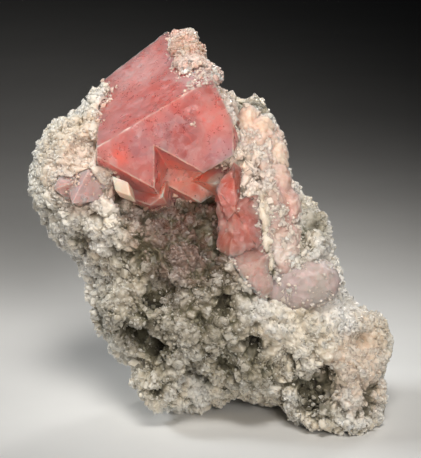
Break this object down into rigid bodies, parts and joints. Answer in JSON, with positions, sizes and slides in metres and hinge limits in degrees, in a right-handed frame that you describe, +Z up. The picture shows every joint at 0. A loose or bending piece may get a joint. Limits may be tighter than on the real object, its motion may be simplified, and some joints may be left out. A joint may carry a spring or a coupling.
{
  "type": "pink fluorite mineral specimen on matrix",
  "caption": "Pink octahedral fluorite crystal with smaller fluorites on a rough pale rock matrix, standing unsupported on its flat-cut feet as a cabinet display piece.",
  "frame": {"origin": "middle of the specimen's footprint box, on the surface it stands on", "axes": "+Z up, along the specimen's greatest length; +X to its right and -Y towards the viewer of its display face"},
  "size_m": [0.0717, 0.0386, 0.0751],
  "materials": {
    "matrix": "rough, sugary albite with grey-green chlorite",
    "main_fluorite": "frosted, translucent pink fluorite",
    "summit_crust": "granular cream crust",
    "lower_fluorite": "cleaved, translucent salmon fluorite",
    "flank_fluorite": "satin, pale pink fluorite",
    "rear_fluorite": "satin, pinkish white fluorite",
    "fluorite_nodule": "waxy, pale lilac pink fluorite",
    "lilac_fluorite": "glassy, pale lilac fluorite",
    "adularia_rhomb": "satin cream adularia"
  },
  "bodies": {
    "root": {"matrix": "matrix", "main_fluorite": "main_fluorite", "summit_crust": "summit_crust", "lower_fluorite": "lower_fluorite", "flank_fluorite": "flank_fluorite", "rear_fluorite": "rear_fluorite", "fluorite_nodule": "fluorite_nodule", "lilac_fluorite": "lilac_fluorite", "adularia_rhomb": "adularia_rhomb"}
  },
  "joints": []
}
